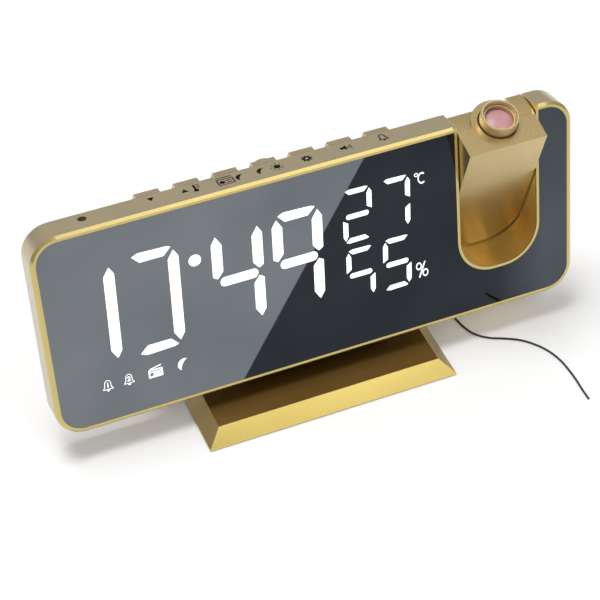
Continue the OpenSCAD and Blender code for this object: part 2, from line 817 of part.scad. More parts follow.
module rear_space() {
    bar(-arm_w / 2, arm_w / 2) intersection() {
        rear_profile(0);
        translate([0, -12]) square([20, 40]);
    }
}

// rear half: the round housing of the optics between two rounded shoulders, the right one higher
module arm_rear() {
    half = arm_w / 2;
    color("darkkhaki") in_arm() difference() {
        union() {
            shoulder(-half, half, shoulder_r[0]);
            shoulder(shoulder_x, half, shoulder_r[1]);
            intersection() {
                translate([optics_x, 0, -12]) cylinder(r = boss_r, h = arm_top + 12, $fn = 64);
                rear_space();
            }
        }
        for (x = [-half + 1.6, 9.2]) bar(x, x + half - 10.8) intersection() {
            rear_profile(1.6);
            translate([-1, -12]) square([20, 22.8]);
        }
        optics_bores();
        for (x = [-15, 9]) translate([x, 0, 0]) rotate([0, 90, 0]) cylinder(r = pin_r, h = 6);
        for (x = [-arm_screw_x, arm_screw_x]) translate([x, 20, arm_screw_z]) rotate([90, 0, 0]) {
            cylinder(r = 1, h = 30);
            cylinder(r = 2, h = 20 - 5);
        }
    }
}

module arm_screws() {
    color("silver") in_arm() for (x = [-arm_screw_x, arm_screw_x])
        translate([x, 0, arm_screw_z]) rotate([90, 0, 0]) {
            translate([0, 0, -6.5]) cylinder(r = 1.8, h = 1.5);
            translate([0, 0, -5 - eps]) cylinder(r = 0.8, h = 9);
        }
}

// steel pins pressed into the arm, running in the case's bushes
module pivot_pins() {
    color("silver") in_arm() for (s = [-1, 1])
        translate([s > 0 ? 9 : -17, 0, 0]) rotate([0, 90, 0]) cylinder(r = pin_r, h = 8);
}

module pivot_bushes() {
    color("white") in_case() for (s = [-1, 1])
        translate([arm_x + (s > 0 ? slot_side : -slot_side - lug_t - 0.6), pivot_y, pivot_z])
            rotate([0, 90, 0]) difference() {
                union() {
                    cylinder(r = bush_r, h = lug_t + 0.6);
                    translate([0, 0, s > 0 ? lug_t : 0]) cylinder(r = 4, h = 0.6);
                }
                translate([0, 0, -1]) cylinder(r = pin_r + running, h = 9);
            }
}

// thin washers that hold the arm at the angle it is put to
module friction_washers() {
    color("black") in_arm() for (s = [-1, 1])
        translate([s > 0 ? arm_w / 2 : -arm_w / 2 - 0.35, 0, 0]) rotate([0, 90, 0]) difference() {
            cylinder(r = 4.5, h = 0.35);
            translate([0, 0, -1]) cylinder(r = pin_r, h = 3);
        }
}

// dark tube in the middle of the arm that lines up the lamp, the slide and the lens
module optics_tube() {
    color([0.1, 0.1, 0.1]) in_optics() difference() {
        translate([0, 0, tube_bottom]) cylinder(r = tube_r, h = tube_top - tube_bottom);
        translate([0, 0, tube_bottom - 1]) cylinder(r = 6, h = tube_ledge - tube_bottom + 1);
        cylinder(r = 5, h = 20);
        translate([0, 0, slide_seat]) cylinder(r = 5.6, h = 20);
        translate([0, 0, tube_top]) cube([12.2, 1.5, 10], center = true);
    }
}

module lamp_board() {
    color("darkgreen") in_optics() translate([0, 0, tube_bottom]) cylinder(r = 5.9, h = 1);
}

module lamp_led() {
    color("red") in_optics() translate([0, 0, tube_bottom + 1]) {
        cylinder(r = 2.4, h = 0.8);
        translate([0, 0, 0.8 - eps]) rotate_extrude() intersection() {
            circle(2);
            square(4);
        }
    }
}

// sleeve that presses the lamp board and the condenser apart
module lamp_spacer() {
    z0 = tube_bottom + 1;
    color([0.2, 0.2, 0.2]) in_optics() difference() {
        translate([0, 0, z0]) cylinder(r = 5.9, h = tube_ledge - 1 - z0);
        translate([0, 0, z0 - 1]) cylinder(r = 5, h = 20);
    }
}

// flat below and domed above; its rim sits between the sleeve and the tube's ledge
module condenser_lens() {
    color("lightcyan") in_optics() translate([0, 0, tube_ledge - 1]) rotate_extrude($fn = 64)
        {
            square([condenser_r, 1]);
            intersection() {
                translate([0, 1 - sqrt(64 - 25)]) circle(8);
                square([5, 4]);
            }
        }
}

module lcd_slide() {
    color([0.1, 0.2, 0.2]) in_optics() translate([0, 0, slide_seat]) difference() {
        cylinder(r = 5.5, h = 1.1);
        translate([0, 0, 0.6]) linear_extrude(2) square([6, 3], center = true);
    }
}

// moves along the arm without turning, because its two keys slide in the tube's notches
module lens_barrel() {
    color("darkkhaki") in_optics() difference() {
        union() {
            translate([0, 0, 9.6]) cylinder(r = 5.2, h = 6);
            translate([0, 0, flange_top]) cylinder(r = barrel_r, h = 8.3);
            translate([0, 0, 11.4]) cube([11.8, 1.3, 3.2], center = true);
        }
        translate([0, 0, 9]) cylinder(r = 4.3, h = 20);
        translate([0, 0, lens_seat]) cylinder(r = lens_r + 0.05, h = 5);
    }
}

module projector_lens() {
    color("mistyrose") in_optics() translate([0, 0, lens_seat]) rotate_extrude($fn = 64) intersection() {
        translate([0, -8.2]) circle(10.4);
        square([lens_r, 4]);
    }
}

// smooth ring; its flange is held between the two halves of the arm
module focus_ring() {
    z0 = tube_top + 0.3;
    color("darkkhaki") in_optics() rotate_extrude($fn = 96)
        polygon([[ring_bore, z0], [flange_r, z0], [flange_r, flange_top], [ring_r, flange_top],
            [ring_r, ring_top - 0.35], [ring_r - 0.35, ring_top], [ring_bore + 0.25, ring_top],
            [ring_bore, ring_top - 0.5]]);
}

front_case();
mirror_panel();
diffuser_film();
display_reflector();
display_board();
display_leds();
display_screws();
rear_cover();
arm_well();
case_screws();
main_board();
board_screws();
key_board();
tact_switches();
climate_sensor();
speaker();
speaker_ring();
dc_jack();
usb_socket();
coin_cell();
cell_contacts();
battery_door();
antenna_grommet();
antenna_lead();
pivot_bushes();
key_down();
key_up();
key_radio();
key_snooze();
key_set();
key_volume();
key_alarm();
stand_shell();
stand_plate();
stand_screws();
plate_screws();
stand_feet();
arm_front();
arm_rear();
arm_screws();
pivot_pins();
friction_washers();
optics_tube();
lamp_board();
lamp_led();
lamp_spacer();
condenser_lens();
lcd_slide();
lens_barrel();
projector_lens();
focus_ring();
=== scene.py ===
from math import cos, pi, radians, sin

import bpy
from mathutils import Matrix, Vector


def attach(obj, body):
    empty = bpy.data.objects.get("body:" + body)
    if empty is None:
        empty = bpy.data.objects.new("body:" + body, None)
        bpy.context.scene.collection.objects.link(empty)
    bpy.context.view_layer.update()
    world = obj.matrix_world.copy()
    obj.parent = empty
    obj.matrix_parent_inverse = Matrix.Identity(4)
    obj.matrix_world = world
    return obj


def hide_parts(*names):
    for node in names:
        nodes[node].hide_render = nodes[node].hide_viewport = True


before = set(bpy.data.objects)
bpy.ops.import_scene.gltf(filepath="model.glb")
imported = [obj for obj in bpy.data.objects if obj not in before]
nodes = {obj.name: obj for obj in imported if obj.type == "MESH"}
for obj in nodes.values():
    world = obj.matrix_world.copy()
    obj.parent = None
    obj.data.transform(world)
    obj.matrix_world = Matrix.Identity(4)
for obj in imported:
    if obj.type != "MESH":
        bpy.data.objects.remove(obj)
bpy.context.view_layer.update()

# ---------- camera ----------
# A long lens at the clock's front left, well above it. The lens is for a 36 mm wide sensor
# and a square picture; right, up and back are the camera's own axes in the clock's frame.
CAMERA_PLACE = (-0.19232, -0.40597, 0.49615)
CAMERA_RIGHT = (0.91820, -0.39556, 0.02114)
CAMERA_UP = (0.27082, 0.66580, 0.69525)
CAMERA_BACK = (-0.28909, -0.63265, 0.71846)
camera = bpy.data.cameras.new("camera")
camera.sensor_width = 36
camera.lens = 117.38
camera.clip_start = 0.01
camera.clip_end = 20
camera_stand = bpy.data.objects.new("camera", camera)
bpy.context.scene.collection.objects.link(camera_stand)
turn = Matrix((CAMERA_RIGHT, CAMERA_UP, CAMERA_BACK)).transposed()
camera_stand.matrix_world = Matrix.Translation(CAMERA_PLACE) @ turn.to_4x4()
bpy.context.scene.camera = camera_stand
bpy.context.scene.view_settings.view_transform = "Standard"

# ---------- antenna lead ----------
# A limp black wire for the radio, 0.7 mm thick, that comes out of a rubber grommet low on the
# back, drops to the table and lies in a loose curve beside the clock, bare at its far end.
# Its route is in millimetres.
MM = 0.001
LEAD_WIDE = 0.7 * MM
LEAD_ROUTE = [
    (40, 14, 21.8), (40, 16.6, 21.1), (40.5, 18.8, 19), (41.7, 20.1, 15.2), (43.3, 20.3, 10.6),
    (45.4, 19.3, 6.2), (47.6, 17.4, 3), (49.8, 14.4, 1.1), (51.6, 10.8, 0.4), (53, 6.6, 0.35),
    (54, 2.2, 0.35), (54.9, -2.6, 0.35), (56.6, -6.8, 0.35), (60.4, -10.6, 0.35), (65.4, -13.1, 0.35),
    (70.4, -16, 0.35), (74.2, -19.8, 0.35), (77, -24.2, 0.35), (78.7, -29.4, 0.35), (79.3, -34.6, 0.35),
    (79.4, -39.6, 0.35), (79.2, -44.4, 0.35), (79.2, -48.8, 0.35)]


def new_finish(name, metallic, roughness, coat=0.0, coat_roughness=0.1, specular=0.5):
    """A node material; what is the same all over goes on the shader's own sockets."""
    material = bpy.data.materials.new(name)
    material.use_nodes = True
    shader = material.node_tree.nodes["Principled BSDF"]
    shader.inputs["Metallic"].default_value = metallic
    shader.inputs["Roughness"].default_value = roughness
    shader.inputs["Coat Weight"].default_value = coat
    shader.inputs["Coat Roughness"].default_value = coat_roughness
    shader.inputs["Specular IOR Level"].default_value = specular
    return material


def place_on(material, location=(0, 0, 0), turn_x=0.0, stretch=(1, 1, 1)):
    """The object's own coordinates, moved, turned about x and stretched."""
    tree = material.node_tree
    coordinates = tree.nodes.new("ShaderNodeTexCoord")
    mapping = tree.nodes.new("ShaderNodeMapping")
    mapping.inputs["Location"].default_value = location
    mapping.inputs["Rotation"].default_value = (turn_x, 0, 0)
    mapping.inputs["Scale"].default_value = stretch
    tree.links.new(coordinates.outputs["Object"], mapping.inputs["Vector"])
    return mapping.outputs["Vector"]


def speckle(material, place, scale, detail=3.0):
    """A soft noise with that many bumps to the metre."""
    noise = material.node_tree.nodes.new("ShaderNodeTexNoise")
    noise.inputs["Scale"].default_value = scale
    noise.inputs["Detail"].default_value = detail
    material.node_tree.links.new(place, noise.inputs["Vector"])
    return noise.outputs["Fac"]


def graded(shaded, value, stops):
    """Turns a value into a colour; stops are (position, (red, green, blue)) in order."""
    ramp = shaded.node_tree.nodes.new("ShaderNodeValToRGB")
    while len(ramp.color_ramp.elements) < len(stops):
        ramp.color_ramp.elements.new(0.5)
    for element, (position, colour) in zip(ramp.color_ramp.elements, stops):
        element.position = position
        element.color = (*colour, 1)
    shaded.node_tree.links.new(value, ramp.inputs["Fac"])
    return ramp.outputs["Color"]


# Most of a soft noise lies between these two values.
NOISE_LOW = 0.3
NOISE_HIGH = 0.7


def two_tone(material, drift, low, high):
    """Drifts from one colour to another with a soft noise."""
    return graded(material, drift, [(NOISE_LOW, low), (NOISE_HIGH, high)])


def ranged(shaded, value, low_in, high_in, low_out, high_out):
    """Stretches a value from one range to another and clamps it."""
    node = shaded.node_tree.nodes.new("ShaderNodeMapRange")
    for name, number in (("From Min", low_in), ("From Max", high_in),
                         ("To Min", low_out), ("To Max", high_out)):
        node.inputs[name].default_value = number
    shaded.node_tree.links.new(value, node.inputs["Value"])
    return node.outputs["Result"]


def drifting(material, drift, low, high):
    """Drifts from one number to another with a soft noise."""
    return ranged(material, drift, NOISE_LOW, NOISE_HIGH, low, high)


def feed(material, socket, value):
    """Links a value to one of the shader's sockets."""
    shader = material.node_tree.nodes["Principled BSDF"]
    material.node_tree.links.new(value, shader.inputs[socket])


def ripple(material, height, depth):
    """A bump of that depth in metres."""
    bump = material.node_tree.nodes.new("ShaderNodeBump")
    bump.inputs["Strength"].default_value = 1.0
    bump.inputs["Distance"].default_value = depth
    material.node_tree.links.new(height, bump.inputs["Height"])
    feed(material, "Normal", bump.outputs["Normal"])


def mottled(name, low, high, scale, roughness, depth, metallic=0.0, stretch=(1, 1, 1), specular=0.5):
    """A finish whose colour and sheen drift between two tones, with an even fine texture."""
    material = new_finish(name, metallic, roughness, specular=specular)
    place = place_on(material, stretch=stretch)
    drift = speckle(material, place, scale)
    feed(material, "Base Color", two_tone(material, drift, low, high))
    feed(material, "Roughness", drifting(material, drift, roughness * 0.88, roughness * 1.12))
    ripple(material, speckle(material, place, scale * 6, 2.0), depth)
    return material


def dress(material, *names):
    """Gives a finish to nodes of the frame."""
    for name in names:
        nodes[name].data.materials.clear()
        nodes[name].data.materials.append(material)


lead_curve = bpy.data.curves.new("antenna_wire", "CURVE")
lead_curve.dimensions = "3D"
lead_line = lead_curve.splines.new("BEZIER")
lead_line.bezier_points.add(len(LEAD_ROUTE) - 1)
for knot, place in zip(lead_line.bezier_points, LEAD_ROUTE):
    knot.co = [MM * part for part in place]
    knot.handle_left_type = knot.handle_right_type = "AUTO"
lead_curve.resolution_u = 6
lead_curve.bevel_depth = LEAD_WIDE / 2
lead_curve.bevel_resolution = 3
lead_curve.use_fill_caps = True
antenna_wire = bpy.data.objects.new("antenna_wire", lead_curve)
bpy.context.scene.collection.objects.link(antenna_wire)
antenna_wire.data.materials.append(
    mottled("black_wire_skin", (0.006, 0.006, 0.007), (0.018, 0.018, 0.02), 900, 0.42, 0.02 * MM))
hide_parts("antenna_lead")
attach(antenna_wire, "case")
dress(mottled("grommet_rubber", (0.012, 0.012, 0.012), (0.03, 0.03, 0.032), 700, 0.6, 0.03 * MM),
      "antenna_grommet", "stand_feet")

# ---------- stand ----------
# A bevelled plinth moulded in plastic, its front and back bevels polished yellow gold and its
# top, ends and neck satin bronze. The top and neck are darkened to brown with a painted
# reflection of the case above them, and the ends with painted shade. A black steel plate closes
# it underneath, on rubber feet.
PLINTH_LEFTWARD = 2.3 * MM
PLINTH_HIGH = 5.3 * MM
PLINTH_HALF_WIDE = 45 * MM
PLINTH_HALF_DEEP = 21.75 * MM
PLINTH_MITRE = PLINTH_HALF_WIDE - PLINTH_HALF_DEEP


def along(shaded, place, axis):
    """One of a place's three coordinates."""
    parts = shaded.node_tree.nodes.new("ShaderNodeSeparateXYZ")
    shaded.node_tree.links.new(place, parts.inputs["Vector"])
    return parts.outputs[axis]


def calculated(material, operation, first, second):
    """One step of arithmetic on two values, each a socket or a number."""
    node = material.node_tree.nodes.new("ShaderNodeMath")
    node.operation = operation
    for socket, value in zip(node.inputs, (first, second)):
        if isinstance(value, (int, float)):
            socket.default_value = value
        else:
            material.node_tree.links.new(value, socket)
    return node.outputs["Value"]


def unsigned(material, value):
    """The value without its sign."""
    return calculated(material, "ABSOLUTE", value, 0.0)


def blended(material, amount, first, second, method="MIX"):
    """Mixes two colours, each a socket or (red, green, blue), by an amount from nought to one."""
    node = material.node_tree.nodes.new("ShaderNodeMix")
    node.data_type = "RGBA"
    node.blend_type = method
    factor, colour_a, colour_b = node.inputs[0], node.inputs[6], node.inputs[7]
    for socket, value in ((factor, amount), (colour_a, first), (colour_b, second)):
        if isinstance(value, tuple):
            socket.default_value = (*value, 1)
        elif isinstance(value, float):
            socket.default_value = value
        else:
            material.node_tree.links.new(value, socket)
    return node.outputs[2]


gold_plate = new_finish("polished_gold_plate", 1.0, 0.2)
gold_drift = speckle(gold_plate, place_on(gold_plate, stretch=(1, 3, 3)), 34, 2.0)
gold_grain = speckle(gold_plate, place_on(gold_plate), 5200, 1.0)


def plated_tone(low, middle, high):
    """A tone of the plating that drifts through three colours."""
    return graded(gold_plate, gold_drift, [(0.30, low), (0.50, middle), (0.72, high)])


gold_tone = plated_tone((0.80, 0.605, 0.18), (0.82, 0.625, 0.19), (0.84, 0.65, 0.205))
# The end tone is painted shade, and the top tone is a painted reflection of the dark case above.
end_painted_shade = plated_tone((0.47, 0.36, 0.18), (0.50, 0.38, 0.19), (0.53, 0.41, 0.21))
top_painted_reflection = plated_tone((0.17, 0.092, 0.018), (0.185, 0.102, 0.021), (0.205, 0.116, 0.026))
plinth_spot = place_on(gold_plate, (PLINTH_LEFTWARD, 0, 0))
plinth_level = along(gold_plate, plinth_spot, "Z")
plinth_top = ranged(gold_plate, plinth_level, PLINTH_HIGH - 0.03 * MM, PLINTH_HIGH - 0.01 * MM, 0, 1)
sideways = unsigned(gold_plate, along(gold_plate, plinth_spot, "X"))
forwards = unsigned(gold_plate, along(gold_plate, plinth_spot, "Y"))
past_mitre = calculated(gold_plate, "SUBTRACT", sideways, forwards)
plinth_ends = ranged(gold_plate, past_mitre, PLINTH_MITRE - 0.03 * MM, PLINTH_MITRE + 0.03 * MM, 0, 1)
satin_and_painted_shade = calculated(gold_plate, "MAXIMUM", plinth_top, plinth_ends)
painted_shade_and_reflection = blended(gold_plate, plinth_top, end_painted_shade, top_painted_reflection)
feed(gold_plate, "Base Color", blended(gold_plate, satin_and_painted_shade, gold_tone, painted_shade_and_reflection))
polish = drifting(gold_plate, gold_grain, -0.025, 0.025)
sheen = ranged(gold_plate, satin_and_painted_shade, 0, 1, 0.2, 0.42)
feed(gold_plate, "Roughness", calculated(gold_plate, "ADD", polish, sheen))
feed(gold_plate, "Metallic", ranged(gold_plate, plinth_top, 0, 1, 1.0, 0.75))
ripple(gold_plate, gold_grain, 0.003 * MM)
dress(gold_plate, "stand_shell")
dress(mottled("black_coated_steel", (0.02, 0.02, 0.022), (0.05, 0.05, 0.052), 260, 0.5, 0.02 * MM,
              metallic=0.4), "stand_plate")
plated_steel = mottled("plated_steel", (0.50, 0.50, 0.51), (0.68, 0.68, 0.67), 1200, 0.3, 0.01 * MM,
                       metallic=1.0)
dress(plated_steel, "stand_screws", "plate_screws", "case_screws", "board_screws",
      "display_screws", "arm_screws", "pivot_pins")

# ---------- front case ----------
# One plastic moulding: the frame around the mirror, the four outer walls and the wall of the
# arm's slot. It is sprayed in champagne gold with fine metal flakes under a satin lacquer, and
# its front edge is cut bright afterwards. Its colour is made more golden in the slot, a painted
# reflection of the gold well, and darker on the ends as painted shade.
CASE_PLACE = Vector((0, -7.7, 11.5)) * MM
LEAN = radians(13.9)
CHAMFER_DEEP = 0.75 * MM
SLOT_MIDDLE = 65.8 * MM
SLOT_HALF = 14.5 * MM
END_STARTS = 86 * MM
END_FULL = 93 * MM
SATIN_ROUGH = 0.3
SATIN_COAT = 0.25


def case_place(material):
    """Coordinates along the leaning case: x, depth behind its face, height along its face."""
    shift = Matrix.Rotation(LEAN, 3, "X") @ -CASE_PLACE
    return place_on(material, shift, LEAN)


def champagne(name, low, high, roughness=SATIN_ROUGH, metallic=0.85, peel=(700, 2.0, 0.004 * MM)):
    """Sprayed metallic lacquer: a drifting tone, flakes a tenth of a millimetre wide, and a peel
    like an orange's, given by its scale, detail and depth."""
    material = new_finish(name, metallic, roughness, coat=SATIN_COAT, coat_roughness=0.18)
    place = case_place(material)
    tone = two_tone(material, speckle(material, place, 60), low, high)
    flakes = speckle(material, place, 9000, 1.0)
    sparkle = graded(material, flakes, [(0.35, (0.9, 0.9, 0.9)), (0.7, (1.08, 1.07, 1.05))])
    feed(material, "Base Color", blended(material, 1.0, tone, sparkle, "MULTIPLY"))
    feed(material, "Roughness", drifting(material, flakes, roughness * 0.85, roughness * 1.2))
    ripple(material, speckle(material, place, *peel[:2]), peel[2])
    return material


def overlaid(material, amount, tone):
    """Lays another colour over the finish's own, where the amount is one."""
    shader = material.node_tree.nodes["Principled BSDF"]
    own_tone = shader.inputs["Base Color"].links[0].from_socket
    feed(material, "Base Color", blended(material, amount, own_tone, tone))


case_paint = champagne("champagne_lacquer", (0.58, 0.48, 0.30), (0.62, 0.52, 0.33))
case_spot = case_place(case_paint)
case_across = along(case_paint, case_spot, "X")
case_depth = along(case_paint, case_spot, "Y")
from_slot = unsigned(case_paint, calculated(case_paint, "SUBTRACT", case_across, SLOT_MIDDLE))
in_slot = ranged(case_paint, from_slot, SLOT_HALF, SLOT_HALF + 0.05 * MM, 1, 0)
# Painted reflection: the slot's wall takes the gold of the well behind it.
overlaid(case_paint, in_slot, (0.95, 0.735, 0.30))
from_centre = unsigned(case_paint, case_across)
# Painted shade: the ends darken over the rounded corners.
overlaid(case_paint, ranged(case_paint, from_centre, END_STARTS, END_FULL, 0, 1), (0.49, 0.42, 0.27))
cut_bright = ranged(case_paint, case_depth, CHAMFER_DEEP - 0.03 * MM, CHAMFER_DEEP + 0.02 * MM, 1, 0)
overlaid(case_paint, cut_bright, (0.62, 0.50, 0.19))
feed(case_paint, "Roughness", ranged(case_paint, cut_bright, 0, 1, SATIN_ROUGH, 0.22))
feed(case_paint, "Coat Weight", ranged(case_paint, cut_bright, 0, 1, SATIN_COAT, 0.0))
dress(case_paint, "front_case")

# ---------- mirror ----------
# A sheet of smoked mirror acrylic, 1.5 mm thick, pressed into the case's recess and glued
# along its edge. Its colour carries a painted reflection: lighter to the left of a slanting edge,
# which stands on the case's lower edge at SHEEN_FOOT, and a little lighter again beyond the slot.
SHEEN_FOOT = -30.8 * MM
SHEEN_SLOPE = 0.687
SHEEN_SOFT = 0.3 * MM
RIGHT_FADE = 18 * MM
smoked_mirror = new_finish("smoked_mirror", 1.0, 0.04)
mirror_place = case_place(smoked_mirror)
across = along(smoked_mirror, mirror_place, "X")
upward = along(smoked_mirror, mirror_place, "Z")
slant = calculated(smoked_mirror, "MULTIPLY", upward, SHEEN_SLOPE)
edge = calculated(smoked_mirror, "SUBTRACT", across, slant)
painted_reflection_split = ranged(smoked_mirror, edge, SHEEN_FOOT - SHEEN_SOFT, SHEEN_FOOT + SHEEN_SOFT, 0, 1)
beyond = ranged(smoked_mirror, across, SLOT_MIDDLE, SLOT_MIDDLE + RIGHT_FADE, 0, 1)
haze = speckle(smoked_mirror, mirror_place, 22, 2.0)
# The lighter tones are painted reflection; the dark side is the mirror's own smoked tone.
painted_reflection_tone = two_tone(smoked_mirror, haze, (0.15, 0.165, 0.18), (0.20, 0.215, 0.23))
dark_side = two_tone(smoked_mirror, haze, (0.022, 0.026, 0.032), (0.034, 0.039, 0.046))
right_painted_reflection = two_tone(smoked_mirror, haze, (0.055, 0.066, 0.078), (0.085, 0.098, 0.112))
dark_side = blended(smoked_mirror, beyond, dark_side, right_painted_reflection)
feed(smoked_mirror, "Base Color", blended(smoked_mirror, painted_reflection_split, painted_reflection_tone, dark_side))
feed(smoked_mirror, "Roughness", drifting(smoked_mirror, haze, 0.03, 0.05))
dress(smoked_mirror, "mirror_panel")

# ---------- the lit display ----------
# White segments that shine through the mirror: the time in four tall figures, the warmth and
# the damp of the room in small ones, with their signs and a row of small signs below.
MIRROR_FACE = 0.1 * MM
GLOW_THICK = 0.05 * MM
GLOW_SUNK = 0.01 * MM
SLANT = 0.034
SAME_SPOT = 1e-6
glow = new_finish("white_glow", 0.0, 0.4)
glow_drift = speckle(glow, place_on(glow), 160)
glow_tone = two_tone(glow, glow_drift, (0.90, 0.92, 0.95), (1, 1, 1))
feed(glow, "Base Color", glow_tone)
feed(glow, "Emission Color", glow_tone)
glow.node_tree.nodes["Principled BSDF"].inputs["Emission Strength"].default_value = 0.85


def on_face(at, turned=0.0):
    """From a flat drawing in x and y to the case's face, at (across, up) in millimetres."""
    lay = Matrix(((1, 0, 0), (0, sin(LEAN), -cos(LEAN)), (0, cos(LEAN), sin(LEAN)))).to_4x4()
    out = Matrix.Translation((at[0] * MM, at[1] * MM, -MIRROR_FACE - GLOW_SUNK))
    return Matrix.Translation(CASE_PLACE) @ lay @ out @ Matrix.Rotation(turned, 4, "Z")


def start_flat(add, **how):
    """Adds a flat primitive at the origin and opens it with all of it selected."""
    bpy.ops.object.select_all(action="DESELECT")
    add(**how)
    bpy.ops.object.mode_set(mode="EDIT")
    bpy.ops.mesh.select_mode(type="VERT")
    bpy.ops.mesh.select_all(action="SELECT")
    return bpy.context.object


def pick(piece, wanted):
    """Selects the vertices whose place passes the test."""
    bpy.ops.object.mode_set(mode="OBJECT")
    for part in (piece.data.vertices, piece.data.edges, piece.data.polygons):
        part.foreach_set("select", [False] * len(part))
    for vertex in piece.data.vertices:
        vertex.select = wanted(vertex.co)
    bpy.ops.object.mode_set(mode="EDIT")
    bpy.ops.mesh.select_mode(type="VERT")


def thicken(thick):
    """Lifts all of a flat drawing into a thin plate, and leaves edit mode."""
    bpy.ops.mesh.select_all(action="SELECT")
    bpy.ops.mesh.extrude_region_move(TRANSFORM_OT_translate={"value": (0, 0, thick)})
    bpy.ops.mesh.select_all(action="SELECT")
    bpy.ops.mesh.normals_make_consistent(inside=False)
    bpy.ops.object.mode_set(mode="OBJECT")


def lit_bar(long, wide, tip):
    """A bar along x whose corners are rounded by tip."""
    piece = start_flat(bpy.ops.mesh.primitive_plane_add, size=1)
    bpy.ops.transform.resize(value=(long, wide, 1))
    bpy.ops.mesh.bevel(offset=tip, segments=4, affect="VERTICES", offset_type="OFFSET")
    thicken(GLOW_THICK)
    return piece


def drawn(corners, rounding, rim=0.0, thick=GLOW_THICK):
    """A flat shape, drawn by moving the corners of a polygon; a rim leaves only its outline."""
    piece = start_flat(bpy.ops.mesh.primitive_circle_add, vertices=len(corners), radius=1,
                       fill_type="NGON")
    for number, corner in enumerate(corners):
        start = piece.data.vertices[number].co.copy()
        pick(piece, lambda co, start=start: (co - start).length < SAME_SPOT)
        bpy.ops.transform.translate(value=Vector((*corner, 0)) - start)
        bpy.ops.object.mode_set(mode="OBJECT")
        bpy.ops.object.mode_set(mode="EDIT")
    bpy.ops.mesh.select_all(action="SELECT")
    bpy.ops.mesh.bevel(offset=rounding, segments=3, affect="VERTICES")
    if rim:
        bpy.ops.mesh.select_all(action="SELECT")
        bpy.ops.mesh.inset(thickness=rim)
        bpy.ops.mesh.delete(type="FACE")
    thicken(thick)
    return piece


def copy_of(piece, turned=0.0):
    """The same piece once more, with a mesh of its own, turned about the drawing's origin."""
    twin = piece.copy()
    twin.data = piece.data.copy()
    twin.data.transform(Matrix.Rotation(turned, 4, "Z"))
    bpy.context.scene.collection.objects.link(twin)
    return twin


def joined(parts):
    """All the parts in the first one's mesh."""
    bpy.ops.object.select_all(action="DESELECT")
    for part in parts:
        part.select_set(True)
    bpy.context.view_layer.objects.active = parts[0]
    if len(parts) > 1:
        bpy.ops.object.join()
    return parts[0]


def settle(piece, name, place, finish):
    """Names a drawn piece, puts it in its place, in its mesh, and lets it ride on the case."""
    piece.data.transform(place)
    piece.name = piece.data.name = name
    piece.data.materials.clear()
    piece.data.materials.append(finish)
    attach(piece, "case")


def light_up(name, at, parts, turned=0.0):
    """Joins the parts of a lit sign and settles it on the mirror."""
    settle(joined(parts), name, on_face(at, turned), glow)


def segment_shapes(wide, high, line, slim, heel_shape):
    """The shapes that a size of figure is put together from, and for each segment its shape, its
    flips across and down, and its place from the lower right corner. Segment r is one long stroke in
    the place of both right ones; slim is an upright one's share of the line, and the heel, in
    lines, is its end beside the middle bar."""
    half = high / 2
    point = [(0, half - 1.32 * line), (-0.42 * line, half - 0.63 * line), (-slim * line, half - 1.47 * line)]
    heel = [(x * line, y * line) for x, y in heel_shape]
    foot = [(x, -y) for x, y in reversed(point)]
    top = [(-0.6 * line, high - 0.3 * line), (-1.02 * line, high - 0.17 * line),
           (1.14 * line - wide, high - 0.09 * line), (0.6 * line - wide, high - 0.33 * line),
           (1.26 * line - wide, high - line), (-1.26 * line, high - line)]
    level = drawn(top, 0.07 * line)
    middle = lit_bar(wide - 1.2 * line, 0.9 * line, 0.43 * line)
    short = drawn(point + heel, 0.08 * line)
    tall = drawn(point + foot, 0.08 * line)
    left = ((1 - slim) * line - wide, half)
    places = {
        "a": (level, 1, 1, (0, 0)), "d": (level, 1, -1, (0, high)),
        "g": (middle, 1, 1, (0.08 * line - wide / 2, half - 0.04 * line)),
        "b": (short, 1, 1, (0, half)), "c": (short, 1, -1, (0, half)),
        "f": (short, -1, 1, left), "e": (short, -1, -1, left), "r": (tall, 1, 1, (0, half))}
    return [level, middle, short, tall], places


def digit(name, segments, at, high, places):
    """A seven-segment figure, `high` tall, whose lower right corner before it slants is at `at`."""
    parts = []
    for segment in segments:
        shape, across_flip, down_flip, place = places[segment]
        part = copy_of(shape)
        flip = Matrix.Diagonal((across_flip, down_flip, 1, 1))
        part.data.transform(Matrix.Translation((*place, 0)) @ flip)
        if across_flip * down_flip < 0:
            part.data.flip_normals()
        parts.append(part)
    figure = joined(parts)
    slanted = Matrix.Identity(4)
    slanted[0][1] = SLANT
    middle = Matrix.Translation((0, -high / 2 * MM, 0))
    figure.data.transform(Matrix.Diagonal((MM, MM, 1, 1)))
    figure.data.transform(middle.inverted() @ slanted @ middle)
    light_up(name, at, [figure])


# The sizes are in millimetres from the case's middle and lower edge.
TALL_HIGH = 38.6
SMALL_HIGH = 20.3
TIME_ROW = 21.9
WARM_ROW = 41.6
DAMP_ROW = 19.2
SIGN_ROW = 15.1
tall_heel = [(-0.94, 1.0), (-0.42, 0.36), (0, 0.62)]
small_heel = [(-0.84, 1.12), (0, 0.58)]
tall_shapes, tall_places = segment_shapes(17.7, TALL_HIGH, 3.85, 0.94, tall_heel)
small_shapes, small_places = segment_shapes(10.6, SMALL_HIGH, 2.1, 0.84, small_heel)
for name, segments, right in (("hour_tens", "r", -68.3), ("hour_ones", "ard", -47.0),
                              ("minute_tens", "fgbc", -18.7), ("minute_ones", "abfgc", 2.1)):
    digit(name, segments, (right, TIME_ROW), TALL_HIGH, tall_places)
for name, segments, right, row in (
        ("degree_tens", "abged", 20.0, WARM_ROW), ("degree_ones", "abc", 33.7, WARM_ROW),
        ("damp_tens", "afgc", 19.9, DAMP_ROW), ("damp_ones", "afgcd", 33.1, DAMP_ROW)):
    digit(name, segments, (right, row), SMALL_HIGH, small_places)
for shape in tall_shapes + small_shapes:
    bpy.data.objects.remove(shape)


